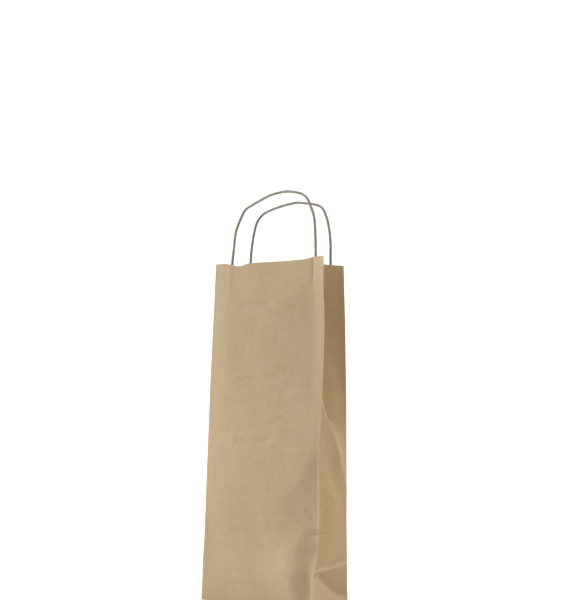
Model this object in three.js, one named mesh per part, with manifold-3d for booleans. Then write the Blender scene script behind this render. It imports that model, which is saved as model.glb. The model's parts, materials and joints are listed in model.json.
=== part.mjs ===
// Kraft paper wine gift bag with a block bottom, inward side gussets and two twisted-paper handles.
// Millimetres, +Z up, the front panel faces -Y, the bag stands on Z = 0.
import * as THREE from "three";
import { mergeVertices } from "three/addons/utils/BufferGeometryUtils.js";
import Module from "manifold-3d";

const wasm = await Module();
wasm.setup();

// Overall sizes of the opened bag
const bagWidth = 140;
const bagDepth = 80;
const bagHeight = 375;

// The sheet
const paper = 0.3;
const gap = 0.3;
const creaseHeight = bagDepth / 2;
const frontPinch = 25;
const rearPinch = 5;
const foldStart = 130;
const foldFull = 240;
const gussetAcross = 8;
const gussetAlong = 48;
const seamLapWidth = 16;
const seamLapOffset = 38;
const lapClearance = 4;

// The block bottom
const flapReach = 52;
const flapTaper = 6;
const tuckReach = 36;
const tuckTaper = 24;

// The handles
const cordDiameter = 3;
const patchWidth = 120;
const patchHeight = 42;
const patchDrop = 1;
const cordTail = 36;
const rimClearance = 0.7;
const cordSides = 8;
const cordSteps = 44;

// Each loop's route as [x, height above its pivot], chosen along the cord
const frontRoute = [
  [-49.5, 0], [-47.6, 15], [-44.9, 35], [-39.4, 48], [-31.8, 60], [-24, 64], [-10.8, 69.5],
  [2.4, 74], [18, 76], [27, 75.5], [42, 71.5], [48, 67], [53, 57.5], [57.4, 45], [59, 27], [59.5, 0],
];
const rearRoute = [
  [-52.8, 0], [-51.6, 17], [-48.3, 37], [-44, 51], [-38.6, 58], [-31.6, 62.3], [-15, 67],
  [4, 70], [12, 70.3], [25, 68], [34.4, 66], [43.5, 61.6], [49.3, 50.5], [52.5, 38.5], [54.4, 22], [54.5, 0],
];

const wallLength = bagHeight - creaseHeight;
const frontLean = Math.asin(frontPinch / wallLength);
const rearLean = Math.asin(rearPinch / wallLength);
const cordRadius = cordDiameter / 2;

const kraft = { color: "#bea887", roughness: 0.85, metalness: 0 };
const kraftShade = { color: "#a88a62", roughness: 0.85, metalness: 0 };
const patchPaper = { color: "#c4ae8c", roughness: 0.85, metalness: 0 };
const cordPaper = { color: "#8f897b", roughness: 0.9, metalness: 0 };

const bag = new THREE.Group();

function addPiece(parent, name, geometry, look) {
  const mesh = new THREE.Mesh(geometry, new THREE.MeshStandardMaterial(look));
  mesh.name = name;
  parent.add(mesh);
  return mesh;
}

// A sheet of paper: a thin block whose corners are moved onto a surface.
// surface(u, v) gives the middle of the sheet, with the thickness along its normal.
function sheet(across, along, surface) {
  const block = new THREE.BoxGeometry(1, 1, 1, across, along, 1);
  const position = block.attributes.position;
  const step = 1e-3;
  for (let i = 0; i < position.count; i++) {
    const u = position.getX(i) + 0.5;
    const v = position.getY(i) + 0.5;
    const alongU = surface(u + step, v).sub(surface(u - step, v));
    const alongV = surface(u, v + step).sub(surface(u, v - step));
    const normal = alongU.cross(alongV).normalize();
    const point = surface(u, v).addScaledVector(normal, position.getZ(i) * paper);
    position.setXYZ(i, point.x, point.y, point.z);
  }
  return block;
}

// A flat sheet cut to an outline in the XY plane, lying between z and z + paper
function flatSheet(points) {
  const shape = new THREE.Shape(points.map(([x, y]) => new THREE.Vector2(x, y)));
  return new THREE.ExtrudeGeometry(shape, { depth: paper, bevelEnabled: false });
}

function toSolid(geometry) {
  const bare = geometry.clone();
  bare.deleteAttribute("normal");
  bare.deleteAttribute("uv");
  const merged = mergeVertices(bare, 1e-4);
  return new wasm.Manifold(new wasm.Mesh({
    numProp: 3,
    vertProperties: new Float32Array(merged.attributes.position.array),
    triVerts: new Uint32Array(merged.index.array),
  }));
}

function toGeometry(solid) {
  const mesh = solid.getMesh();
  const geometry = new THREE.BufferGeometry();
  geometry.setAttribute("position", new THREE.BufferAttribute(mesh.vertProperties, 3));
  geometry.setIndex(new THREE.BufferAttribute(mesh.triVerts, 1));
  geometry.computeVertexNormals();
  return geometry;
}

// One wall's frame above the block crease: X across, Y into the bag, Z up along the panel.
// facing is -1 for the front wall and 1 for the rear wall.
function wallFrame(facing, lean) {
  const frame = new THREE.Group();
  frame.position.set(0, facing * bagDepth / 2, creaseHeight);
  frame.rotation.set(-lean, 0, facing < 0 ? 0 : Math.PI, "ZYX");
  bag.add(frame);
  frame.updateMatrixWorld(true);
  return frame;
}

const front = wallFrame(-1, frontLean);
const rear = wallFrame(1, rearLean);

// A panel above the crease, in its wall's frame, and the foot strip below it
function panel(frame, name, facing) {
  const height = wallLength - gap / 2;
  const upper = addPiece(frame, name, new THREE.BoxGeometry(bagWidth, paper, height), kraft);
  upper.position.set(0, paper / 2, gap / 2 + height / 2);
  const footHeight = creaseHeight - gap / 2;
  const foot = addPiece(bag, name + "_foot", new THREE.BoxGeometry(bagWidth, paper, footHeight), kraft);
  foot.position.set(0, facing * (bagDepth / 2 - paper / 2), footHeight / 2);
}

panel(front, "front_panel", -1);
panel(rear, "rear_panel", 1);

// The glued lap that closes the sheet into a tube, inside the rear wall, ends under the handle patch
const lapHeight = wallLength - patchDrop - patchHeight - lapClearance;
const lap = addPiece(rear, "seam_lap", new THREE.BoxGeometry(seamLapWidth, paper, lapHeight), kraft);
lap.position.set(seamLapOffset, 1.5 * paper + gap, gap + lapHeight / 2);

// Gussets: each side has a flat foot and two halves that fold inward towards the mouth
const smooth = (x) => THREE.MathUtils.smoothstep(x, foldStart, foldFull);
const cornerInset = paper + gap;
const cornerSlack = gap / 3;

function wallEdge(frame, side, v) {
  const z = gap + v * (wallLength - gap);
  const local = new THREE.Vector3(0, cornerInset + cornerSlack, z);
  const world = local.applyMatrix4(frame.matrixWorld);
  world.x = side * (bagWidth / 2 - paper / 2);
  return world;
}

function gussetFold(side, v) {
  const a = wallEdge(front, side, v);
  const b = wallEdge(rear, side, v);
  const half = a.distanceTo(b) / 2;
  const middle = a.add(b).multiplyScalar(0.5);
  const inset = Math.sqrt(Math.max((bagDepth / 2) ** 2 - half ** 2, 0)) * smooth(middle.z);
  middle.x -= side * inset;
  return middle;
}

function gussetHalf(name, side, frame) {
  const surface = (u, v) => {
    const edge = wallEdge(frame, side, v);
    const fold = gussetFold(side, v);
    const start = (paper + gap) / edge.distanceTo(fold);
    return fold.lerp(edge, start + u * (1 - start));
  };
  addPiece(bag, name, sheet(gussetAcross, gussetAlong, surface), kraftShade);
}

for (const [label, side] of [["left", -1], ["right", 1]]) {
  gussetHalf(label + "_gusset_front", side, front);
  gussetHalf(label + "_gusset_rear", side, rear);
  const footHeight = creaseHeight - gap / 2;
  const footDepth = bagDepth - 2 * cornerInset;
  const foot = new THREE.BoxGeometry(paper, footDepth, footHeight);
  const footMesh = addPiece(bag, label + "_gusset_foot", foot, kraftShade);
  footMesh.position.set(side * (bagWidth / 2 - paper / 2), 0, footHeight / 2);
}

// Block bottom: the rear flap is outermost, then the front flap, then the two side tucks
const layer = paper + gap;
const insideX = bagWidth / 2 - cornerInset;
const insideY = bagDepth / 2 - cornerInset;

function bottomFlap(name, facing, level) {
  const outline = [
    [-insideX, insideY], [insideX, insideY],
    [insideX - flapTaper, insideY - flapReach], [-insideX + flapTaper, insideY - flapReach],
  ];
  const flap = addPiece(bag, name, flatSheet(outline), kraft);
  flap.position.z = level * layer;
  flap.rotation.z = facing < 0 ? Math.PI : 0;
}

bottomFlap("bottom_rear_flap", 1, 0);
bottomFlap("bottom_front_flap", -1, 1);

for (const [label, side] of [["left", -1], ["right", 1]]) {
  const outline = [
    [insideX, -insideY], [insideX, insideY],
    [insideX - tuckReach, insideY - tuckTaper], [insideX - tuckReach, -insideY + tuckTaper],
  ];
  const tuck = addPiece(bag, label + "_bottom_tuck", flatSheet(outline), kraft);
  tuck.position.z = 2 * layer;
  tuck.rotation.z = side < 0 ? Math.PI : 0;
}

// Handle mounting inside a wall: backing patch, two cord tails, and a cover patch
// that runs over the tails. All sizes are in the wall's own frame.
const backingFace = paper + gap + paper;
const cordCentre = backingFace + gap + cordRadius;
const pivotRise = cordRadius + rimClearance;
const tailTop = wallLength + pivotRise - cordRadius - gap;

function coverOutline(legs, centre) {
  const shape = new THREE.Shape();
  const inner = cordRadius + gap;
  const outer = inner + paper;
  const low = backingFace + gap;
  const left = centre - patchWidth / 2;
  const right = centre + patchWidth / 2;
  shape.moveTo(left, low);
  for (const x of legs) {
    shape.lineTo(x - inner, low);
    shape.lineTo(x - inner, cordCentre);
    shape.absarc(x, cordCentre, inner, Math.PI, 0, true);
    shape.lineTo(x + inner, low);
  }
  shape.lineTo(right, low);
  shape.lineTo(right, low + paper);
  for (const x of [...legs].reverse()) {
    shape.lineTo(x + outer, low + paper);
    shape.lineTo(x + outer, cordCentre);
    shape.absarc(x, cordCentre, outer, 0, Math.PI, false);
    shape.lineTo(x - outer, low + paper);
  }
  shape.lineTo(left, low + paper);
  return shape;
}

function handle(frame, label, route, facing) {
  const legs = [route[0][0], route[route.length - 1][0]].map((x) => -facing * x).sort((a, b) => a - b);
  const centre = (legs[0] + legs[1]) / 2;
  const patchTop = wallLength - patchDrop;

  const backing = new THREE.BoxGeometry(patchWidth, paper, patchHeight);
  const backingMesh = addPiece(frame, label + "_patch_backing", backing, patchPaper);
  backingMesh.position.set(centre, backingFace - paper / 2, patchTop - patchHeight / 2);

  const options = { depth: patchHeight, bevelEnabled: false, curveSegments: cordSides / 2 };
  const cover = new THREE.ExtrudeGeometry(coverOutline(legs, centre), options);
  addPiece(frame, label + "_patch_cover", cover, patchPaper).position.z = patchTop - patchHeight;

  for (const x of legs) {
    const worldSide = -facing * x < 0 ? "left" : "right";
    const tail = new THREE.CylinderGeometry(cordRadius, cordRadius, cordTail, 12);
    tail.rotateX(Math.PI / 2);
    const tailMesh = addPiece(frame, `${label}_cord_tail_${worldSide}`, tail, cordPaper);
    tailMesh.position.set(x, cordCentre, tailTop - cordTail / 2);
  }

  const pivot = new THREE.Vector3(0, cordCentre, wallLength + pivotRise).applyMatrix4(frame.matrixWorld);
  const curve = new THREE.CatmullRomCurve3(route.map(([x, z]) => new THREE.Vector3(x, 0, z)), false, "centripetal");
  const circle = new THREE.Shape().absarc(0, 0, cordRadius, 0, 2 * Math.PI, false);
  const tube = new THREE.ExtrudeGeometry(circle, {
    steps: cordSteps, extrudePath: curve, curveSegments: cordSides / 2,
  });
  let loop = toSolid(tube);
  for (const [x, z] of [route[0], route[route.length - 1]]) {
    const ball = new THREE.SphereGeometry(cordRadius, 16, 10);
    ball.translate(x, 0, z);
    loop = loop.add(toSolid(ball));
  }
  addPiece(bag, label + "_handle_loop", toGeometry(loop), cordPaper).position.copy(pivot);
}

handle(front, "front", frontRoute, -1);
handle(rear, "rear", rearRoute, 1);

export default bag;
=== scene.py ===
"""A kraft paper bottle gift bag: one creased sheet with a block bottom and pinched gussets, and two
twisted-paper handles glued between patches. Everything is in metres in the frame's own axes, with +Z up
and the front panel facing -Y. Shape functions work in millimetres."""
import json
import math

import bpy
import bmesh
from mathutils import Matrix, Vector, noise

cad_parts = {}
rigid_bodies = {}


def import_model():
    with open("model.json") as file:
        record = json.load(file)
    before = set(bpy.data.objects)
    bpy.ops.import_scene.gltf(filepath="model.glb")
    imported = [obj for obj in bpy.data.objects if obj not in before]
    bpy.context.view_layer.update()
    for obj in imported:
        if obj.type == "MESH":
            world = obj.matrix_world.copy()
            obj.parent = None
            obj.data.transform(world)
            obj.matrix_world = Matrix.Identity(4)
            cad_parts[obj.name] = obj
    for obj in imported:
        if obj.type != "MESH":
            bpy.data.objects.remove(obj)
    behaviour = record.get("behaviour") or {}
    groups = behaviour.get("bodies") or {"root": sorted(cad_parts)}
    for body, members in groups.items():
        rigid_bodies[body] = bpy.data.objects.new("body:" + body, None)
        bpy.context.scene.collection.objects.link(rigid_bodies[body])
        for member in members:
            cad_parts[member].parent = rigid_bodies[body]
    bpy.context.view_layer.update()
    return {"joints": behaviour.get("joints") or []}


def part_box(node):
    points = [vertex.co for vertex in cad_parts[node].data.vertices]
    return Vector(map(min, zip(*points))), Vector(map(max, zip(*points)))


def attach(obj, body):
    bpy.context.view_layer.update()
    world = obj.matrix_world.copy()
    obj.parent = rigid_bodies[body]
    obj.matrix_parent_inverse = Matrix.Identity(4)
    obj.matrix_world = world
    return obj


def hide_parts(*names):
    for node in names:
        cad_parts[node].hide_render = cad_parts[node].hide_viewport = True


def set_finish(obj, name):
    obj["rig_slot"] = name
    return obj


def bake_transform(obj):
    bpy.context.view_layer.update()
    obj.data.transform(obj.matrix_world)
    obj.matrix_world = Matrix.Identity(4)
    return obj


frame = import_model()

MM = 0.001
CAD_PAPER = 0.3


# ------------------------------------------------------------------ sizes, from the frame, in mm
def box_mm(node):
    low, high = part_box(node)
    return Vector(low) / MM, Vector(high) / MM


def joint_mm(name):
    joint = next(j for j in frame["joints"] if j["name"] == name)
    return Vector(joint["pos_m"]) / MM


front_low, front_high = box_mm("front_panel")
rear_low, rear_high = box_mm("rear_panel")
HALF_WIDTH = front_high.x
HALF_DEPTH = rear_high.y
CREASE = joint_mm("mouth_open_close").z
FRONT_RIM = front_high.z
REAR_RIM = rear_high.z
# The visual paper is a little thinner than the frame's, and still thick enough to draw its cut edges
SHEET = 0.25
FRONT_MOUTH = front_high.y - CAD_PAPER
REAR_MOUTH = rear_low.y + CAD_PAPER
CORD = 3.0
FRONT_PIVOT = joint_mm("front_handle_swing")
REAR_PIVOT = joint_mm("rear_handle_swing")
PATCH_WIDTH = box_mm("front_patch_cover")[1].x - box_mm("front_patch_cover")[0].x
PATCH_HEIGHT = 42.0
PATCH_DROP = 1.0

# Each loop's route as (x, height above its pivot) in mm
FRONT_ROUTE = [
    (-49.5, 0), (-47.6, 15), (-44.9, 35), (-39.4, 48), (-31.8, 60), (-24, 64), (-10.8, 69.5),
    (2.4, 74), (18, 76), (27, 75.5), (42, 71.5), (48, 67), (53, 57.5), (57.4, 45), (59, 27), (59.5, 0),
]
REAR_ROUTE = [
    (-52.8, 0), (-51.6, 17), (-48.3, 37), (-44, 51), (-38.6, 58), (-31.6, 62.3), (-15, 67),
    (4, 70), (12, 70.3), (25, 68), (34.4, 66), (43.5, 61.6), (49.3, 50.5), (52.5, 38.5),
    (54.4, 22), (54.5, 0),
]


# ------------------------------------------------------------------ small maths
def mix(a, b, t):
    return a + (b - a) * t


def clamp(t):
    return max(0.0, min(1.0, t))


def ease(low, high, value):
    t = clamp((value - low) / (high - low))
    return t * t * (3 - 2 * t)


def bell(value, middle, width):
    return math.exp(-((value - middle) / width) ** 2)


def flow(z, stations):
    """A smooth line through (height, value) stations, level beyond the first and last."""
    if z <= stations[0][0]:
        return stations[0][1]
    if z >= stations[-1][0]:
        return stations[-1][1]
    i = next(k for k in range(1, len(stations)) if z <= stations[k][0])
    before = stations[max(i - 2, 0)]
    a, b = stations[i - 1], stations[i]
    after = stations[min(i + 1, len(stations) - 1)]
    span = b[0] - a[0]
    slope_a = (b[1] - before[1]) / (b[0] - before[0]) * span
    slope_b = (after[1] - a[1]) / (after[0] - a[0]) * span
    t = (z - a[0]) / span
    t2, t3 = t * t, t * t * t
    return ((2 * t3 - 3 * t2 + 1) * a[1] + (t3 - 2 * t2 + t) * slope_a
            + (3 * t2 - 2 * t3) * b[1] + (t3 - t2) * slope_b)


def crumple(x, z, size, seed):
    """Smooth seeded unevenness between about -1 and 1 with features of the given size in mm."""
    return noise.noise(Vector((x / size, z / size, seed)))


# ------------------------------------------------------------------ camera
def place_camera():
    """At the height of a small table's edge, a little to the front panel's right, and looking slightly up."""
    azimuth = math.radians(30.84)
    heading = math.radians(30.17)
    pitch = math.radians(5.10)
    reach, height = 1.187, 0.226
    data = bpy.data.cameras.new("bag_camera")
    data.sensor_width = 36
    data.lens = 63.2
    camera = bpy.data.objects.new("bag_camera", data)
    bpy.context.scene.collection.objects.link(camera)
    camera.location = (math.sin(azimuth) * reach, -math.cos(azimuth) * reach, height)
    camera.rotation_euler = (math.pi / 2 + pitch, 0, heading)
    bpy.context.scene.camera = camera


place_camera()


# ------------------------------------------------------------------ the bag's folded surface, in mm
# How far the front panel's right edge is pushed in at each height, spread over the whole panel
FRONT_TWIST = [
    (40, 0), (62, 3), (84, 5.6), (105, 3.4), (122, 2.6), (150, 2.8), (180, 4.6), (215, 8.7), (250, 10.4),
    (295, 9.9), (324, 7.4), (345, 3.6), (355, 2.2), (375, 0.5),
]
# The softer dent beside the right edge above the block, and how wide it is
EDGE_DENT = [
    (28, 0), (42, 3.2), (56, 6.2), (70, 4.6), (84, 3), (100, 5.2), (117, 6.2), (140, 4.2), (165, 1),
    (185, 0),
]
DENT_WIDTH = [(30, 32), (56, 30), (84, 18), (100, 36), (116, 36), (130, 24), (154, 10)]
WRINKLE_GAIN = 1.8
WRINKLE_WIDTH = 3.4
# Soft wrinkles across each wall: middle x, height, half length, depth and how far the ends droop, all in mm
FRONT_WRINKLES = [
    (-12, 327, 22, 0.85, 2.5), (34, 334, 12, -0.5, 1), (22, 318, 18, 0.6, -2), (-34, 252, 14, 0.5, 1),
    (-14, 243, 20, 0.8, 3), (16, 247, 13, 0.6, -2), (44, 226, 16, -0.6, 2), (-26, 206, 16, -0.4, 2),
    (22, 196, 15, 0.5, 4), (-20, 173, 14, 0.6, 2), (4, 176, 11, 0.75, -2), (38, 163, 22, -0.6, 1.5),
    (-30, 128, 18, -0.4, 2), (6, 118, 16, 0.4, -3), (30, 92, 24, -0.65, 2), (-14, 76, 22, 0.8, 3),
    (-40, 66, 16, -0.5, 2), (16, 60, 15, 0.5, -2), (-8, 28, 26, -0.5, 2),
]
REAR_WRINKLES = [
    (20, 318, 20, 0.8, 3), (-22, 300, 16, -0.6, 2), (4, 262, 22, 0.7, -3), (36, 232, 15, -0.6, 2),
    (-16, 206, 20, 0.8, 3), (14, 170, 18, -0.5, -2), (-36, 150, 14, 0.6, 2), (22, 118, 22, 0.8, 3),
    (-8, 92, 16, -0.5, 2), (34, 66, 16, 0.6, -2), (-26, 54, 18, 0.6, 2),
]
# How far the front's left edge is pushed in, and how far the whole rear panel bows, at each height
LEFT_DENT = [(0, 0), (20, 1.2), (60, 2.4), (110, 1.4), (170, 0.6), (230, 0)]
REAR_BOW = [(0, 0), (40, -0.6), (110, 0.2), (200, 2.2), (310, 1.3), (350, -0.2), (375, -0.5)]


REAR_CUT = 4.3


def front_lean(z):
    return mix(-HALF_DEPTH, FRONT_MOUTH, clamp((z - CREASE) / (FRONT_RIM - CREASE)))


def rear_lean(z):
    return mix(HALF_DEPTH, REAR_MOUTH, clamp((z - CREASE) / (REAR_RIM - CREASE)))


def wrinkled(x, z, wrinkles):
    """How far soft wrinkles push a panel in at this point."""
    depth = 0.0
    for middle, height, reach, deep, droop in wrinkles:
        along = (x - middle) / reach
        if abs(along) < 2 and abs(z - height) < 14:
            line = height - droop * along * along
            depth += WRINKLE_GAIN * deep * bell(z, line, WRINKLE_WIDTH) * math.exp(-along ** 4)
    return depth


def front_y(x, z):
    """The front panel's outer face."""
    across = (x + HALF_WIDTH) / (2 * HALF_WIDTH)
    from_right = HALF_WIDTH - x
    from_left = HALF_WIDTH + x
    y = front_lean(z)
    y += flow(z, LEFT_DENT) * (1 - ease(0, 50, from_left))
    y += flow(z, FRONT_TWIST) * across
    y += flow(z, EDGE_DENT) * clamp(1 - from_right / flow(z, DENT_WIDTH)) ** 1.3
    # beside the right edge the panel turns out again, most where it runs past the cord
    strip = mix(14, 11.5, ease(320, 350, z))
    y -= 1.5 * clamp(1 - from_right / strip) * ease(185, 225, z)
    y += 0.9 * bell(from_right, 12.8, 1.7) * ease(343, 352, z)
    # a pinch in the edge left by packing
    y += (1.6 * bell(z, 79, 2.2) - 1.0 * bell(z, 73, 3.5) - 0.6 * bell(z, 87, 4)) * clamp(1 - from_right / 9)
    y += 0.9 * bell(z - 1.3 * from_right, 88, 3.2) * bell(from_right, 7, 8)
    # the panel bows out softly between its creases, and bellies beside the right edge of the block
    y -= 3.4 * math.sin(math.pi * across) * ease(CREASE, 150, z) * (1 - ease(310, 374, z))
    belly = ease(5, 23, from_right) * bell(max(from_right - 23, 0), 0, 27)
    y -= 6.0 * belly * bell(z, 36, 30) * ease(0, 12, z)
    y += 3.2 * bell(from_right, 9, 10) * bell(z, 24, 18) * ease(0, 10, z) * clamp(from_right / 5)
    # the cord tails press a ridge through the paper
    for leg, height in ((FRONT_ROUTE[0][0], 0.45), (FRONT_ROUTE[-1][0], 0.3)):
        y -= height * bell(x, leg, 2.6) * ease(334, 345, z)
    # the patch's lower edge shows as a faint step
    y -= 0.22 * ease(328, 334, z) * bell(x, 5, 62) ** 0.5
    y += wrinkled(x, z, FRONT_WRINKLES)
    y += 0.55 * crumple(x, z, 55, 1.0) * ease(0, 25, z)
    y += 0.10 * crumple(x, z, 13, 4.0) * ease(0, 25, z)
    return y


def front_point(x, z):
    """A point of the front panel's outer face; its right corner is spread a little at the rim."""
    spread = 1.5 * ease(325, 372, z) * ease(45, HALF_WIDTH, x)
    return Vector((x + spread, front_y(x, z), z))


def front_top(x):
    """The front rim's height, which dips beside the left cord and lifts at both corners."""
    dip = 2.8 * bell(x, -38, 8.5) + 0.5 * bell(x, 20, 26)
    lift = 1.9 * ease(44, 60, x) + 1.2 * ease(48, 60, -x)
    return FRONT_RIM - dip + lift


def rear_y(x, z):
    """The rear panel's outer face."""
    across = (x + HALF_WIDTH) / (2 * HALF_WIDTH)
    y = rear_lean(z) + flow(z, REAR_BOW)
    y += 2.2 * math.sin(math.pi * across) * ease(CREASE, 190, z) * (1 - ease(310, 374, z))
    y += 0.22 * ease(329, 335, z) * bell(x, 1, 62) ** 0.5
    for leg in (REAR_ROUTE[0][0], REAR_ROUTE[-1][0]):
        y += 0.45 * bell(x, leg, 2.6) * ease(336, 347, z)
    y -= wrinkled(x, z, REAR_WRINKLES)
    y += 0.6 * crumple(x, z, 50, 7.0) * ease(0, 25, z)
    return y


def rear_top(x):
    """The rear rim's height, cut lower than the frame's and sagging a little in the middle."""
    return REAR_RIM - REAR_CUT - 0.7 * bell(x, 10, 40)


def front_edge(side, share):
    x = side * HALF_WIDTH
    return front_point(x, share * front_top(x))


def rear_edge(side, share):
    x = side * HALF_WIDTH
    z = share * rear_top(x)
    return Vector((x, rear_y(x, z), z))


# Each gusset's folds. fold, ridge and drop are (front, rear) pairs of heights in mm: the inward fold ends
# along fold, below it the paper comes out to a ridge, turns under it for drop and then settles. ridge_out,
# under and out are how far the paper stands out or in there, in mm. foot_depth is the share of its full
# depth that the fold has where it ends. highlight_crown is where across the gusset a painted highlight
# lies on the facet above the ridge, pale_gain how strong it is, and widen how much wider the pale band
# along the ridge, crease wear with a painted highlight, grows to the rear.
GUSSET_FOLDS = {
    1: {"fold": (236, 184), "ridge": (217, 126), "drop": (46, 16), "ridge_out": 6.4, "under": 2.6,
        "out": 3.4, "foot_depth": 0.92, "highlight_crown": 0.76, "pale_gain": 0.9, "widen": 3.6},
    -1: {"fold": (205, 232), "ridge": (165, 196), "drop": (20, 40), "ridge_out": 5.0, "under": 1.6,
         "out": 2.8, "foot_depth": 0.80, "highlight_crown": 0.30, "pale_gain": 0.2, "widen": 0},
}


def gusset_inset(side, across, z, half_gap):
    """How far inside the side the gusset stands at this point, negative where it is popped out."""
    fold = GUSSET_FOLDS[side]
    tent = 1 - abs(2 * across - 1)
    full = math.sqrt(max(HALF_DEPTH ** 2 - half_gap ** 2, 0))
    fold_end, ridge, drop = (mix(*fold[name], across) for name in ("fold", "ridge", "drop"))
    if z >= fold_end:
        # the rear half curls, so it stands steep against the rear panel
        curl = mix(1, 0.68, ease(fold_end, fold_end + 70, z)) if across > 0.5 else 1
        return full * mix(fold["foot_depth"], 1, ease(fold_end, 290, z)) * tent ** curl
    ridge_inset = -fold["ridge_out"] * tent ** 0.75
    under_inset = fold["under"] * tent
    if z >= ridge:
        return mix(ridge_inset, full * fold["foot_depth"] * tent, (z - ridge) / (fold_end - ridge))
    if z >= ridge - drop:
        return mix(under_inset, ridge_inset, ((z - ridge + drop) / drop) ** 1.3)
    settled = ease(0, 38, ridge - drop - z)
    return mix(under_inset, -fold["out"] * tent ** 0.8, settled) * mix(0.55, 1, ease(CREASE, CREASE + 12, z))


def gusset_point(side, across, share):
    """across runs 0 at the front edge, 0.5 at the centre fold and 1 at the rear edge."""
    a, b = front_edge(side, share), rear_edge(side, share)
    half_gap = (b - a).length / 2
    point = a.lerp(b, across)
    tent = 1 - abs(2 * across - 1)
    z = point.z
    point.x -= side * gusset_inset(side, across, z, half_gap)
    # packing has left the middle uneven
    soft = tent ** 0.6 * ease(CREASE, CREASE + 20, z)
    point.x += side * 0.7 * crumple(across * 80, z, 30, 3.0 + side) * soft
    point.x += side * 0.22 * crumple(across * 80, z, 10, 9.0 + side) * soft
    # a short cross crease starts at the pinched spot of the front edge
    if side > 0:
        point.x -= 1.1 * bell(z, 79 - 10 * across, 2.0) * bell(across, 0.1, 0.2) * ease(0, 0.03, across)
    return point


def foot_valley(side, across):
    """The height of the foot's slanting valley."""
    along = across if side > 0 else 1 - across
    return CREASE * mix(0.93, 0.12, ease(0.05, 1, along) ** 0.8)


def foot_point(side, across, z):
    """The gusset's foot: under the block crease it turns in, down to a valley that runs from the crease at
    one edge to the floor at the other, and below the valley it comes out again to the floor."""
    a = Vector((side * HALF_WIDTH, front_y(side * HALF_WIDTH, z), z))
    b = Vector((side * HALF_WIDTH, rear_y(side * HALF_WIDTH, z), z))
    point = a.lerp(b, across)
    along = across if side > 0 else 1 - across
    valley = foot_valley(side, across)
    valley_inset = 4.0 * math.sin(math.pi * clamp(along * 0.97 + 0.02)) ** 0.7
    ridge = gusset_inset(side, across, CREASE, HALF_DEPTH)
    if z > valley:
        inset = mix(valley_inset, ridge, (z - valley) / (CREASE - valley))
    else:
        inset = valley_inset * z / valley
    edges = clamp(min(across, 1 - across) / 0.04)
    point.x -= side * inset * edges
    return point


# ------------------------------------------------------------------ making sheets and cords
def new_object(name, mesh):
    thing = bpy.data.objects.new(name, mesh)
    bpy.context.scene.collection.objects.link(thing)
    return thing


def select_only(thing):
    bpy.ops.object.select_all(action="DESELECT")
    thing.select_set(True)
    bpy.context.view_layer.objects.active = thing


def paper_sheet(name, us, vs, place, paper_uv, wear_and_highlight, facing):
    """A sheet of paper over the grid us by vs. place(u, v) is its outer face in mm, paper_uv(u, v) its place
    on the flat sheet in mm, and wear_and_highlight(u, v) from 0 to 1 how pale it is drawn: rubbing at creases
    and cut edges, and in places a painted highlight. facing is a direction its outer face roughly looks in."""
    points = [place(u, v) for v in vs for u in us]
    columns = len(us)
    faces = []
    for r in range(len(vs) - 1):
        for c in range(columns - 1):
            k = r * columns + c
            faces.append((k, k + 1, k + 1 + columns, k + columns))
    mesh = bpy.data.meshes.new(name)
    mesh.from_pydata([p * MM for p in points], [], faces)
    mesh.update()
    mean = Vector()
    for polygon in mesh.polygons:
        mean += polygon.normal * polygon.area
    if mean.dot(Vector(facing)) < 0:
        mesh.flip_normals()
    layer = mesh.uv_layers.new(name="flat_sheet")
    where = [Vector(paper_uv(u, v)) * MM for v in vs for u in us]
    for loop in mesh.loops:
        layer.data[loop.index].uv = where[loop.vertex_index]
    # this attribute holds rubbing at creases and cut edges, and painted highlights
    wear_and_highlight_layer = mesh.attributes.new("crease_wear_and_highlight", "FLOAT", "POINT")
    wear_and_highlight_layer.data.foreach_set("value", [wear_and_highlight(u, v) for v in vs for u in us])
    sheet = new_object(name, mesh)
    select_only(sheet)
    thickness = sheet.modifiers.new("paper", "SOLIDIFY")
    thickness.thickness = SHEET * MM
    thickness.offset = -1
    thickness.use_even_offset = False
    bpy.ops.object.modifier_apply(modifier=thickness.name)
    bpy.ops.object.shade_smooth_by_angle(angle=math.radians(24))
    return sheet


def steps(low, high, spacing, *through):
    """Even steps from low to high that also land on each value in through."""
    stops = sorted({low, high, *through})
    found = [stops[0]]
    for a, b in zip(stops, stops[1:]):
        count = max(1, round((b - a) / spacing))
        found += [a + (b - a) * (k + 1) / count for k in range(count)]
    return found


def smooth_route(points, spacing):
    """A centripetal curve through the points, as points about spacing apart."""
    padded = [points[0] * 2 - points[1], *points, points[-1] * 2 - points[-2]]
    fine = []
    for p0, p1, p2, p3 in zip(padded, padded[1:], padded[2:], padded[3:]):
        t1 = math.sqrt((p1 - p0).length)
        t2 = t1 + math.sqrt((p2 - p1).length)
        t3 = t2 + math.sqrt((p3 - p2).length)
        count = max(2, math.ceil((p2 - p1).length / spacing))
        for k in range(count):
            t = t1 + (t2 - t1) * k / count
            a1 = p0 * ((t1 - t) / t1) + p1 * (t / t1)
            a2 = p1 * ((t2 - t) / (t2 - t1)) + p2 * ((t - t1) / (t2 - t1))
            a3 = p2 * ((t3 - t) / (t3 - t2)) + p3 * ((t - t2) / (t3 - t2))
            b1 = a1 * ((t2 - t) / t2) + a2 * (t / t2)
            b2 = a2 * ((t3 - t) / (t3 - t1)) + a3 * ((t - t1) / (t3 - t1))
            fine.append(b1 * ((t2 - t) / (t2 - t1)) + b2 * ((t - t1) / (t2 - t1)))
    return fine + [points[-1]]


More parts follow.
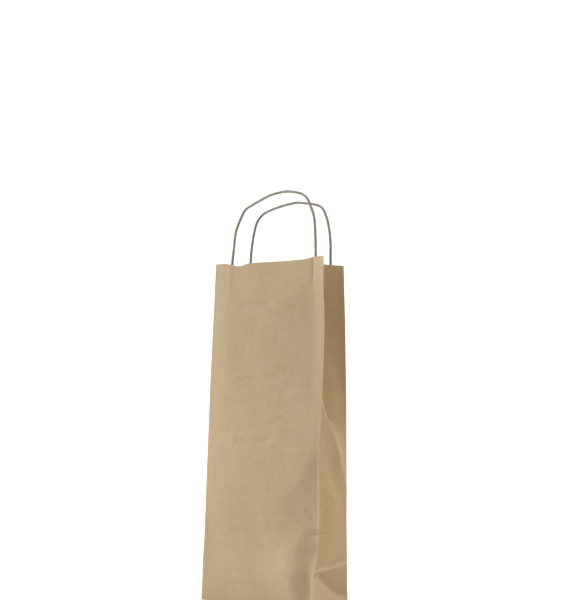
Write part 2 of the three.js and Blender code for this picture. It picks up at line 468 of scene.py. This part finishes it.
def twisted_cord(name, line, radius, strands=3, lay=9.0, sides=24):
    """A cord of twisted paper along a line of points: a tube whose section has as many lobes as strands, and
    they turn once in each lay of length. All in mm."""
    rings, along = [], 0.0
    tangent = (line[1] - line[0]).normalized()
    across = tangent.cross(Vector((0, 1, 0))).normalized()
    for i, point in enumerate(line):
        ahead = line[min(i + 1, len(line) - 1)] - line[max(i - 1, 0)]
        tangent = ahead.normalized()
        across = (across - tangent * across.dot(tangent)).normalized()
        beside = tangent.cross(across)
        along += (point - line[i - 1]).length if i else 0
        ring = []
        for k in range(sides):
            angle = 2 * math.pi * k / sides
            lobe = abs(math.sin(strands / 2 * (angle - 2 * math.pi * along / lay)))
            r = radius * (0.96 + 0.14 * lobe ** 0.6)
            r *= 1 + 0.025 * crumple(along, angle * 3, 6, 5.0)
            ring.append(point + across * (r * math.cos(angle)) + beside * (r * math.sin(angle)))
        rings.append((ring, along))
    vertices = [p * MM for ring, _ in rings for p in ring]
    faces = []
    for r in range(len(rings) - 1):
        for k in range(sides):
            n = (k + 1) % sides
            faces.append((r * sides + k, r * sides + n, (r + 1) * sides + n, (r + 1) * sides + k))
    faces.append(tuple(reversed(range(sides))))
    faces.append(tuple(range((len(rings) - 1) * sides, len(rings) * sides)))
    mesh = bpy.data.meshes.new(name)
    mesh.from_pydata(vertices, [], faces)
    mesh.update()
    layer = mesh.uv_layers.new(name="flat_sheet")
    for polygon in mesh.polygons:
        for index in polygon.loop_indices:
            vertex = mesh.loops[index].vertex_index
            ring, k = divmod(vertex, sides)
            if k == 0 and any(mesh.loops[j].vertex_index % sides == sides - 1 for j in polygon.loop_indices):
                k = sides
            layer.data[index].uv = (k / sides * 2 * math.pi * radius * MM, rings[ring][1] * MM)
    edit = bmesh.new()
    edit.from_mesh(mesh)
    bmesh.ops.recalc_face_normals(edit, faces=edit.faces)
    edit.to_mesh(mesh)
    edit.free()
    mesh.polygons.foreach_set("use_smooth", [True] * len(mesh.polygons))
    return new_object(name, mesh)


# ------------------------------------------------------------------ the two handles
TAIL = 24.0
CORD_INSIDE = 2.6
CORD_STEP = 0.55


def handle_line(route, pivot, wall_y, inward):
    """The whole cord: down one tail inside the wall, round the loop, and into the other tail."""
    def tail(x):
        found = []
        for drop in (TAIL, 18, 12, 7, 3):
            z = pivot.z - drop
            y = mix(pivot.y, wall_y(x, z) + inward * CORD_INSIDE, ease(0, 10, drop))
            found.append(Vector((x, y, z)))
        return found
    loop = [Vector((x, pivot.y, pivot.z + h)) for x, h in route]
    return smooth_route(tail(route[0][0]) + loop + tail(route[-1][0])[::-1], CORD_STEP)


def make_handle(name, route, pivot, wall_y, inward, nodes):
    line = handle_line(route, pivot, wall_y, inward)
    cord = twisted_cord(name, line, CORD / 2)
    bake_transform(cord)
    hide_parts(*nodes)
    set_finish(cord, "twisted_paper")
    length = sum((b - a).length for a, b in zip(line, line[1:]))


make_handle("front_handle_cord", FRONT_ROUTE, FRONT_PIVOT, front_y, 1,
            ("front_handle_loop", "front_cord_tail_left", "front_cord_tail_right"))
make_handle("rear_handle_cord", REAR_ROUTE, REAR_PIVOT, rear_y, -1,
            ("rear_handle_loop", "rear_cord_tail_left", "rear_cord_tail_right"))


# ------------------------------------------------------------------ the folded sheet
# Where each part starts on the flat sheet, in mm from the middle of the front panel
RIGHT_START = HALF_WIDTH
LEFT_START = -HALF_WIDTH
REAR_START = HALF_WIDTH + 2 * HALF_DEPTH
FLAP_START = 600
PATCH_START = 900
# Grid spacing of the panels and of the more folded gussets, and the height of a gusset's lip inside its foot
PITCH = 2.0
FINE = 1.4
LIP = 3.0
LIP_INSIDE = 0.4


def edge_wear_and_highlight(distance, reach=1.1):
    """How pale the paper is drawn this far in mm from a crease or cut edge: rubbing, and where callers use it
    so, a painted highlight.
    """
    return math.exp(-(distance / reach) ** 2)


def declare(sheet, body, nodes, slot="kraft_sheet"):
    if body:
        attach(sheet, body)
    if nodes:
        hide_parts(*nodes)
    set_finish(sheet, slot)


def follow_mouth(sheet):
    """Bakes the sheet's placement into its mesh. Nothing here bends the front panel or the gussets between
    the two walls."""
    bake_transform(sheet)


def make_front_panel():
    low = CREASE / FRONT_RIM

    def place(x, share):
        return front_point(x, mix(CREASE, front_top(x), (share - low) / (1 - low)))

    def wear_and_highlight(x, share):
        z = share * FRONT_RIM
        # both upright edges are rubbed pale; on the right edge around 124 mm up it is drawn paler still as a
        # painted highlight
        side = edge_wear_and_highlight(HALF_WIDTH - abs(x)) * (1 + 1.6 * bell(z, 124, 30) * (x > 0))
        # broad pale strips beside both upright edges, higher up: painted highlight
        painted_highlight_right = 0.8 * (1 - ease(5, 14, HALF_WIDTH - x)) * ease(195, 240, z)
        painted_highlight_left = 0.8 * (1 - ease(3, 28, HALF_WIDTH + x)) * ease(60, 220, z)
        crease = 0.15 * edge_wear_and_highlight((share - low) * FRONT_RIM)
        rim = 0.6 * edge_wear_and_highlight((1 - share) * FRONT_RIM, 0.8)
        return max(side, painted_highlight_right, painted_highlight_left, crease, rim)

    xs = steps(-HALF_WIDTH, HALF_WIDTH, PITCH, -HALF_WIDTH + 1, HALF_WIDTH - 1)
    shares = steps(low, 1, PITCH / FRONT_RIM, low + 1 / FRONT_RIM, 1 - 1 / FRONT_RIM)
    sheet = paper_sheet("front_panel_sheet", xs, shares, place,
                        lambda x, s: (x, s * FRONT_RIM), wear_and_highlight, (0, -1, 0))
    follow_mouth(sheet)
    declare(sheet, None, ["front_panel"])


LAP_OUTER, LAP_INNER = -46.0, -30.0


def make_rear_panel():
    """The rear of the sheet, from the right gusset to the outer edge of the glued lap."""
    def place(x, share):
        z = share * rear_top(x)
        lift = 0.3 * (1 - ease(LAP_INNER, LAP_INNER + 14, x))
        return Vector((x, rear_y(x, z) + lift, z))

    def wear_and_highlight(x, share):
        z = share * REAR_RIM
        right = edge_wear_and_highlight(HALF_WIDTH - x)
        cut = 0.8 * edge_wear_and_highlight(x - LAP_OUTER, 0.9)
        return max(right, cut, 0.7 * edge_wear_and_highlight(z - CREASE), 0.6 * edge_wear_and_highlight(REAR_RIM - z, 0.8), edge_wear_and_highlight(z))

    xs = steps(LAP_OUTER, HALF_WIDTH, PITCH, LAP_OUTER + 0.7, HALF_WIDTH - 1)
    shares = steps(0, 1, PITCH / REAR_RIM, 1 / REAR_RIM, CREASE / REAR_RIM, 1 - 1 / REAR_RIM)
    sheet = paper_sheet("rear_panel_sheet", xs, shares, place,
                        lambda x, s: (REAR_START + HALF_WIDTH - x, s * REAR_RIM), wear_and_highlight, (0, 1, 0))
    declare(sheet, "bag_body", ["rear_panel", "rear_panel_foot"])


def make_seam_lap():
    """The strip on the other side of the lap, which runs under the panel and round to the left gusset."""
    def place(x, share):
        z = share * rear_top(x)
        under = 0.08 * ease(LAP_OUTER - 6, LAP_OUTER, x)
        return Vector((x, rear_y(x, z) - under, z))

    def wear_and_highlight(x, share):
        z = share * REAR_RIM
        return max(edge_wear_and_highlight(HALF_WIDTH + x), 0.7 * edge_wear_and_highlight(z - CREASE), edge_wear_and_highlight(z))

    xs = steps(-HALF_WIDTH, LAP_INNER, PITCH, -HALF_WIDTH + 1)
    shares = steps(0, 1, PITCH / REAR_RIM, 1 / REAR_RIM, CREASE / REAR_RIM, 1 - 1 / REAR_RIM)
    sheet = paper_sheet("seam_lap_sheet", xs, shares, place,
                        lambda x, s: (REAR_START + HALF_WIDTH - x, s * REAR_RIM), wear_and_highlight, (0, 1, 0))
    declare(sheet, "bag_body", ["seam_lap"])


def make_gusset(side, label):
    """The gusset above the block crease, with a lip that reaches down inside the foot."""
    low = CREASE / FRONT_RIM
    start = RIGHT_START if side > 0 else LEFT_START

    def place(across, share):
        if share >= low:
            return gusset_point(side, across, share)
        point = foot_point(side, across, share * FRONT_RIM)
        point.x -= side * LIP_INSIDE
        return point

    def wear_and_highlight(across, share):
        edge = min(across, 1 - across) * 2 * HALF_DEPTH
        middle = abs(across - 0.5) * 2 * HALF_DEPTH
        z = share * FRONT_RIM
        fold = GUSSET_FOLDS[side]
        fold_end, ridge = mix(*fold["fold"], across), mix(*fold["ridge"], across)
        # along the ridge the paper is rubbed pale, and the band widens toward the rear as a painted highlight
        ridge_reach = 1.6 + fold["widen"] * ease(0.35, 0.9, across)
        # painted highlight on the facet above the ridge
        highlight_crown = bell(z, mix(ridge, fold_end, 0.45), (fold_end - ridge) * 0.42)
        highlight_crown *= bell(across, fold["highlight_crown"], 0.20)
        # just above the block crease: crease wear with a painted highlight
        return max(edge_wear_and_highlight(edge), 0.35 * edge_wear_and_highlight(middle), edge_wear_and_highlight(z - CREASE - 1, 2.2),
                   fold["pale_gain"] * highlight_crown, 0.8 * edge_wear_and_highlight(z - ridge, ridge_reach))

    acrosses = steps(0, 1, FINE / (2 * HALF_DEPTH), 0.0125, 0.4875, 0.5, 0.5125, 0.9875)
    shares = [low - LIP / FRONT_RIM, low - 0.5 / FRONT_RIM]
    shares += steps(low, 1, FINE / FRONT_RIM, low + 1 / FRONT_RIM, 1 - 1 / FRONT_RIM)
    sheet = paper_sheet(label + "_gusset_sheet", acrosses, shares, place,
                        lambda a, s: (start + side * a * 2 * HALF_DEPTH, s * FRONT_RIM), wear_and_highlight, (side, 0, 0))
    follow_mouth(sheet)
    declare(sheet, None, [label + "_gusset_front", label + "_gusset_rear"],
            slot="kraft_gusset")


def make_front_foot():
    """The strip of the front panel below the block crease."""
    def wear_and_highlight(x, z):
        return max(edge_wear_and_highlight(HALF_WIDTH - abs(x)), edge_wear_and_highlight(z), 0.15 * edge_wear_and_highlight(CREASE - z))

    xs = steps(-HALF_WIDTH, HALF_WIDTH, PITCH, -HALF_WIDTH + 1, HALF_WIDTH - 1)
    heights = steps(0, CREASE, FINE, 1, CREASE - 1)
    sheet = paper_sheet("front_foot_sheet", xs, heights, lambda x, z: Vector((x, front_y(x, z), z)),
                        lambda x, z: (x, z), wear_and_highlight, (0, -1, 0))
    declare(sheet, "bag_body", ["front_panel_foot"])


def make_gusset_foot(side, label):
    start = RIGHT_START if side > 0 else LEFT_START

    def wear_and_highlight(across, z):
        upright = min(across, 1 - across) * 2 * HALF_DEPTH
        # painted highlight: below the slanting valley the foot's upward facing facet is drawn paler
        lower = 0.7 * ease(-3, 3, foot_valley(side, across) - z)
        return max(edge_wear_and_highlight(upright), edge_wear_and_highlight(z), edge_wear_and_highlight(CREASE - z), lower)

    acrosses = steps(0, 1, FINE / (2 * HALF_DEPTH), 0.0125, 0.04, 0.5, 0.96, 0.9875)
    heights = steps(0, CREASE, FINE, 1, CREASE - 1)
    sheet = paper_sheet(label + "_foot_sheet", acrosses, heights, lambda a, z: foot_point(side, a, z),
                        lambda a, z: (start + side * a * 2 * HALF_DEPTH, z), wear_and_highlight, (side, 0, 0))
    declare(sheet, "bag_body", [label + "_gusset_foot"], slot="kraft_gusset")


make_front_panel()
make_rear_panel()
make_seam_lap()
make_gusset(-1, "left")
make_gusset(1, "right")
make_front_foot()
make_gusset_foot(-1, "left")
make_gusset_foot(1, "right")


# ------------------------------------------------------------------ the block bottom
def make_flap(name, node, corners, level):
    """A flat flap from its four corners in order, at that level in mm, slightly uneven."""
    a, b, c, d = [Vector((x, y, 0)) for x, y in corners]

    def place(u, v):
        point = a.lerp(b, u).lerp(d.lerp(c, u), v)
        point.z = level + SHEET + 0.05 * crumple(point.x, point.y, 25, level)
        return point

    def wear_and_highlight(u, v):
        return 0.8 * edge_wear_and_highlight(min(v, 1 - v) * 50, 1.2)

    shares = steps(0, 1, 0.04, 0.02, 0.98)
    sheet = paper_sheet(name, shares, shares, place,
                        lambda u, v: (FLAP_START + u * 140, v * 52), wear_and_highlight, (0, 0, 1))
    declare(sheet, "bag_body", [node])


def make_bottom():
    """Two long flaps, one on the other, with a tuck from each gusset folded over them."""
    flap_taper, tuck_taper = 6, 24
    inside_x, inside_y = HALF_WIDTH - 0.5, HALF_DEPTH - 0.5
    for label, side, level in (("rear", 1, 0.0), ("front", -1, 0.6)):
        low, high = box_mm("bottom_%s_flap" % label)
        reach = high.y - low.y
        edge, end = side * inside_y, side * (inside_y - reach)
        corners = [(-inside_x, edge), (inside_x, edge), (inside_x - flap_taper, end),
                   (-inside_x + flap_taper, end)]
        node = "bottom_%s_flap" % label
        make_flap(node + "_sheet", node, corners, level)
    for label, side in (("left", -1), ("right", 1)):
        low, high = box_mm(label + "_bottom_tuck")
        reach = high.x - low.x
        edge, end = side * inside_x, side * (inside_x - reach)
        corners = [(edge, -inside_y), (edge, inside_y), (end, inside_y - tuck_taper),
                   (end, -inside_y + tuck_taper)]
        node = label + "_bottom_tuck"
        make_flap(node + "_sheet", node, corners, 1.2)


make_bottom()


# ------------------------------------------------------------------ handle patches inside the rim
def make_patches(label, route, wall_y, top, inward, body, centre):
    """A backing strip against the wall, and a cover strip that is raised where it runs over the cord's
    tails."""
    legs = (route[0][0], route[-1][0])
    left, right = centre - PATCH_WIDTH / 2, centre + PATCH_WIDTH / 2

    def over_cord(x):
        return max(3.7 * math.exp(-((x - leg) / 2.4) ** 4) for leg in legs)

    def patch(name, node, lift, rise):
        def place(x, drop):
            z = top(x) - PATCH_DROP - drop
            return Vector((x, wall_y(x, z) + inward * (lift + rise(x)), z))

        def wear_and_highlight(x, drop):
            return 0.8 * edge_wear_and_highlight(min(drop, PATCH_HEIGHT - drop, x - left, right - x), 0.9)

        tight = [leg + k for leg in legs for k in (-3.5, -1.7, 0, 1.7, 3.5)]
        xs = steps(left, right, 1.5, *[x for x in tight if left < x < right])
        drops = steps(0, PATCH_HEIGHT, PITCH, 1, PATCH_HEIGHT - 1)
        sheet = paper_sheet(name, xs, drops, place, lambda x, d: (PATCH_START + x, d), wear_and_highlight, (0, inward, 0))
        declare(sheet, body, [node], slot="patch_paper")

    backing, cover = label + "_patch_backing", label + "_patch_cover"
    patch(backing + "_sheet", backing, 0.6, lambda x: 0)
    patch(cover + "_sheet", cover, 0.95, over_cord)


make_patches("front", FRONT_ROUTE, front_y, front_top, 1, "front_wall", 5.0)
make_patches("rear", REAR_ROUTE, rear_y, rear_top, -1, "bag_body", 0.85)


# ------------------------------------------------------------------ materials
def linear(hex_colour):
    """An sRGB hex colour as the linear colour that shaders take."""
    parts = [int(hex_colour[k:k + 2], 16) / 255 for k in (1, 3, 5)]
    return (*[c / 12.92 if c <= 0.04045 else ((c + 0.055) / 1.055) ** 2.4 for c in parts], 1)


def add_node(tree, kind, inputs=None, **settings):
    """A node with its settings, and its inputs set or linked."""
    node = tree.nodes.new(kind)
    for name, value in settings.items():
        setattr(node, name, value)
    for name, value in (inputs or {}).items():
        socket = node.inputs[name]
        if isinstance(value, bpy.types.NodeSocket):
            tree.links.new(value, socket)
        else:
            socket.default_value = value
    return node


# Sockets of the Mix node, which has several of each name, and its two results
FACTOR, VALUE_A, VALUE_B, COLOUR_A, COLOUR_B = 0, 2, 3, 6, 7
MIXED_VALUE, MIXED_COLOUR = 0, 2


def new_material(name):
    material = bpy.data.materials.new(name)
    material.use_nodes = True
    material.node_tree.nodes.clear()
    return material, material.node_tree


def per_mm(size):
    """Texture scale, in features for each metre, of features that are size mm across."""
    return 1 / (size * MM)


def bands_per_mm(pitch):
    """Wave texture scale whose bands repeat every pitch mm."""
    return math.pi / 10 / (pitch * MM)


def kraft_paper(name, light, middle, dark, rib_pitch, rib_depth, pale_gain):
    """Unbleached kraft, machine glazed with pressed ribs: a warm matt sheet with cloudy formation, short
    fibres that run up the sheet, fine ribs, and pale marks: creases rubbed pale, and painted highlights.

    The pressed ribs of such paper are about 1.3 mm apart and its fibres about 0.03 mm wide. Both are drawn
    coarser here, at 2.6 mm and 0.45 mm, so that the eye still finds them from the camera's distance."""
    material, tree = new_material(name)
    place = add_node(tree, "ShaderNodeUVMap", uv_map="flat_sheet").outputs["UV"]
    tall = add_node(tree, "ShaderNodeMapping", {"Vector": place, "Scale": (1, 0.45, 1)})
    clouds = add_node(tree, "ShaderNodeTexNoise", {
        "Vector": tall.outputs["Vector"], "Scale": per_mm(30), "Detail": 4, "Roughness": 0.55,
        "Distortion": 0.2})
    formation = add_node(tree, "ShaderNodeTexNoise", {
        "Vector": place, "Scale": per_mm(5), "Detail": 5, "Roughness": 0.6})
    stretched = add_node(tree, "ShaderNodeMapping", {"Vector": place, "Scale": (1, 0.13, 1)})
    fibres = add_node(tree, "ShaderNodeTexNoise", {
        "Vector": stretched.outputs["Vector"], "Scale": per_mm(0.45), "Detail": 4, "Roughness": 0.7,
        "Distortion": 0.6})
    flecks = add_node(tree, "ShaderNodeTexNoise", {
        "Vector": place, "Scale": per_mm(1.6), "Detail": 2, "Roughness": 0.5})
    fleck_mask = add_node(tree, "ShaderNodeMapRange", {
        "Value": flecks.outputs["Fac"], "From Min": 0.66, "From Max": 0.74, "To Max": 0.35})
    ribs = add_node(tree, "ShaderNodeTexWave", {
        "Vector": place, "Scale": bands_per_mm(rib_pitch), "Distortion": 0.4, "Detail": 1,
        "Detail Scale": 0.4}, bands_direction="X")
    tone = add_node(tree, "ShaderNodeMix", {
        FACTOR: 0.45, VALUE_A: clouds.outputs["Fac"], VALUE_B: formation.outputs["Fac"]}, data_type="FLOAT")
    tone = add_node(tree, "ShaderNodeMix", {
        FACTOR: 0.35, VALUE_A: tone.outputs[MIXED_VALUE], VALUE_B: fibres.outputs["Fac"]}, data_type="FLOAT")
    ramp = add_node(tree, "ShaderNodeValToRGB", {"Fac": tone.outputs[MIXED_VALUE]})
    ramp.color_ramp.elements[0].position = 0.30
    ramp.color_ramp.elements[0].color = linear(dark)
    ramp.color_ramp.elements[1].position = 0.70
    ramp.color_ramp.elements[1].color = linear(light)
    ramp.color_ramp.elements.new(0.5).color = linear(middle)
    ribbed = add_node(tree, "ShaderNodeMapRange", {
        "Value": ribs.outputs["Fac"], "To Min": 0.962, "To Max": 1.018})
    shaded = add_node(tree, "ShaderNodeMix", {
        FACTOR: 1.0, COLOUR_A: ramp.outputs["Color"], COLOUR_B: ribbed.outputs["Result"]},
        data_type="RGBA", blend_type="MULTIPLY")
    flecked = add_node(tree, "ShaderNodeMix", {
        FACTOR: fleck_mask.outputs["Result"], COLOUR_A: shaded.outputs[MIXED_COLOUR],
        COLOUR_B: linear(dark)}, data_type="RGBA")
    # pale colour laid where the attribute says: wear at creases and edges, and painted highlights
    wear_and_highlight = add_node(tree, "ShaderNodeAttribute", attribute_name="crease_wear_and_highlight")
    broken = add_node(tree, "ShaderNodeTexNoise", {
        "Vector": place, "Scale": per_mm(3), "Detail": 3, "Roughness": 0.6})
    rubbing_and_highlight = add_node(tree, "ShaderNodeMath", {
        0: wear_and_highlight.outputs["Fac"], 1: broken.outputs["Fac"]}, operation="MULTIPLY")
    rubbing_and_highlight = add_node(tree, "ShaderNodeMath", {0: rubbing_and_highlight.outputs[0], 1: pale_gain}, operation="MULTIPLY")
    colour = add_node(tree, "ShaderNodeMix", {
        FACTOR: rubbing_and_highlight.outputs[0], COLOUR_A: flecked.outputs[MIXED_COLOUR],
        COLOUR_B: linear("#dccab0")}, data_type="RGBA")
    rib_bump = add_node(tree, "ShaderNodeBump", {
        "Height": ribs.outputs["Fac"], "Strength": 0.5, "Distance": rib_depth * MM})
    fibre_bump = add_node(tree, "ShaderNodeBump", {
        "Height": fibres.outputs["Fac"], "Strength": 0.5, "Distance": 0.06 * MM,
        "Normal": rib_bump.outputs["Normal"]})
    cockle_bump = add_node(tree, "ShaderNodeBump", {
        "Height": clouds.outputs["Fac"], "Strength": 0.6, "Distance": 0.6 * MM,
        "Normal": fibre_bump.outputs["Normal"]})
    roughness = add_node(tree, "ShaderNodeMapRange", {
        "Value": formation.outputs["Fac"], "To Min": 0.68, "To Max": 0.88})
    surface = add_node(tree, "ShaderNodeBsdfPrincipled", {
        "Base Color": colour.outputs[MIXED_COLOUR], "Roughness": roughness.outputs["Result"], "IOR": 1.45,
        "Specular IOR Level": 0.35, "Normal": cockle_bump.outputs["Normal"]})
    add_node(tree, "ShaderNodeOutputMaterial", {"Surface": surface.outputs["BSDF"]})
    return material


def twisted_paper():
    """Kraft tissue spun into a hard cord: greyer and darker than the sheet, with a fine spiral of wrapped
    edges that carry a painted highlight, and painted shade in the grooves between turns."""
    material, tree = new_material("spun_paper_cord")
    place = add_node(tree, "ShaderNodeUVMap", uv_map="flat_sheet").outputs["UV"]
    turned = add_node(tree, "ShaderNodeMapping", {"Vector": place, "Rotation": (0, 0, math.radians(46))})
    plies = add_node(tree, "ShaderNodeTexWave", {
        "Vector": turned.outputs["Vector"], "Scale": bands_per_mm(0.55), "Distortion": 1.2, "Detail": 2,
        "Detail Scale": 1.5}, bands_direction="X")
    mottle = add_node(tree, "ShaderNodeTexNoise", {
        "Vector": place, "Scale": per_mm(7), "Detail": 4, "Roughness": 0.6})
    ramp = add_node(tree, "ShaderNodeValToRGB", {"Fac": mottle.outputs["Fac"]})
    ramp.color_ramp.elements[0].position = 0.3
    ramp.color_ramp.elements[0].color = linear("#7a766a")
    ramp.color_ramp.elements[1].position = 0.7
    ramp.color_ramp.elements[1].color = linear("#9d998e")
    # painted highlight on the wrapped edges of the plies and painted shade in the grooves between them
    painted_ply_shading = add_node(tree, "ShaderNodeMapRange", {
        "Value": plies.outputs["Fac"], "To Min": 0.78, "To Max": 1.06})
    colour = add_node(tree, "ShaderNodeMix", {
        FACTOR: 1.0, COLOUR_A: ramp.outputs["Color"], COLOUR_B: painted_ply_shading.outputs["Result"]},
        data_type="RGBA", blend_type="MULTIPLY")
    bump = add_node(tree, "ShaderNodeBump", {
        "Height": plies.outputs["Fac"], "Strength": 0.7, "Distance": 0.12 * MM})
    surface = add_node(tree, "ShaderNodeBsdfPrincipled", {
        "Base Color": colour.outputs[MIXED_COLOUR], "Roughness": 0.82, "IOR": 1.45, "Specular IOR Level": 0.3,
        "Normal": bump.outputs["Normal"]})
    add_node(tree, "ShaderNodeOutputMaterial", {"Surface": surface.outputs["BSDF"]})
    return material


def finish_pieces():
    """Every piece takes the material of its slot. The gussets take a shaded copy of the sheet's paper,
    darker and warmer as painted shade, and lay on their wear and painted highlights more strongly."""
    ribbed = kraft_paper("ribbed_kraft_sheet", "#b09c7e", "#a89374", "#9d8663",
                         rib_pitch=2.6, rib_depth=0.06, pale_gain=0.30)
    # painted shade: the gussets' copy of the paper is darker and warmer, for the light that bounces between
    # their folds
    folded = kraft_paper("ribbed_kraft_gusset_painted_shade", "#af9772", "#a68c66", "#997e56",
                         rib_pitch=2.6, rib_depth=0.05, pale_gain=0.45)
    plain = kraft_paper("plain_kraft_patch", "#bfaa8b", "#b7a181", "#ad9574",
                        rib_pitch=3.1, rib_depth=0.03, pale_gain=0.3)
    spun = twisted_paper()
    finishes = {"kraft_sheet": ribbed, "kraft_gusset": folded, "patch_paper": plain, "twisted_paper": spun}
    for thing in bpy.context.scene.objects:
        if thing.type != "MESH" or "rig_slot" not in thing:
            continue
        thing.data.materials.clear()
        thing.data.materials.append(finishes[thing["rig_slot"]])


finish_pieces()


# ------------------------------------------------------------------ studio
def make_floor():
    """A pale seamless sweep: flat under the bag and curving up well behind it."""
    mesh = bpy.data.meshes.new("studio_floor")
    front, bend, radius, top, half_width = -6.0, 2.2, 1.2, 5.0, 7.0
    segments = 12
    profile = [(front, 0), (bend, 0)]
    for k in range(1, segments + 1):
        angle = math.radians(90 * k / segments)
        profile.append((bend + radius * math.sin(angle), radius - radius * math.cos(angle)))
    profile.append((bend + radius, top))
    turn = math.radians(30)
    points = [(x * math.cos(turn) - y * math.sin(turn), x * math.sin(turn) + y * math.cos(turn), z)
              for y, z in profile for x in (-half_width, half_width)]
    faces = [(2 * k, 2 * k + 1, 2 * k + 3, 2 * k + 2) for k in range(len(profile) - 1)]
    mesh.from_pydata(points, [], faces)
    floor = new_object("studio_floor", mesh)
    material, tree = new_material("white_paper_sweep")
    surface = add_node(tree, "ShaderNodeBsdfPrincipled", {
        "Base Color": linear("#fafaf9"), "Roughness": 0.9, "Specular IOR Level": 0.1})
    add_node(tree, "ShaderNodeOutputMaterial", {"Surface": surface.outputs["BSDF"]})
    mesh.materials.append(material)
    mesh.polygons.foreach_set("use_smooth", [True] * len(mesh.polygons))


def soft_light(name, place, size, power, aim=(0, 0, 0.2)):
    """A square softbox at place that looks at aim. Metres and watts."""
    data = bpy.data.lights.new(name, "AREA")
    data.shape = "SQUARE"
    data.size = size
    data.energy = power
    light = bpy.data.objects.new(name, data)
    bpy.context.scene.collection.objects.link(light)
    light.location = place
    light.rotation_euler = (Vector(aim) - Vector(place)).to_track_quat("-Z", "Y").to_euler()


def light_studio():
    world = bpy.data.worlds.new("studio_air")
    world.use_nodes = True
    air = world.node_tree.nodes["Background"]
    air.inputs["Color"].default_value = (1, 1, 1, 1)
    air.inputs["Strength"].default_value = 0.42
    bpy.context.scene.world = world
    soft_light("left_softbox", (-2.3, -1.15, 1.8), size=1.3, power=92)
    soft_light("high_softbox", (1.4, 0.4, 2.7), size=0.9, power=56)
    # lights the sweep behind the bag only
    soft_light("sweep_light", (-0.5, 0.9, 2.3), size=2.0, power=34, aim=(-1.5, 2.9, 0.9))
    bpy.context.scene.view_settings.view_transform = "Standard"


make_floor()
light_studio()
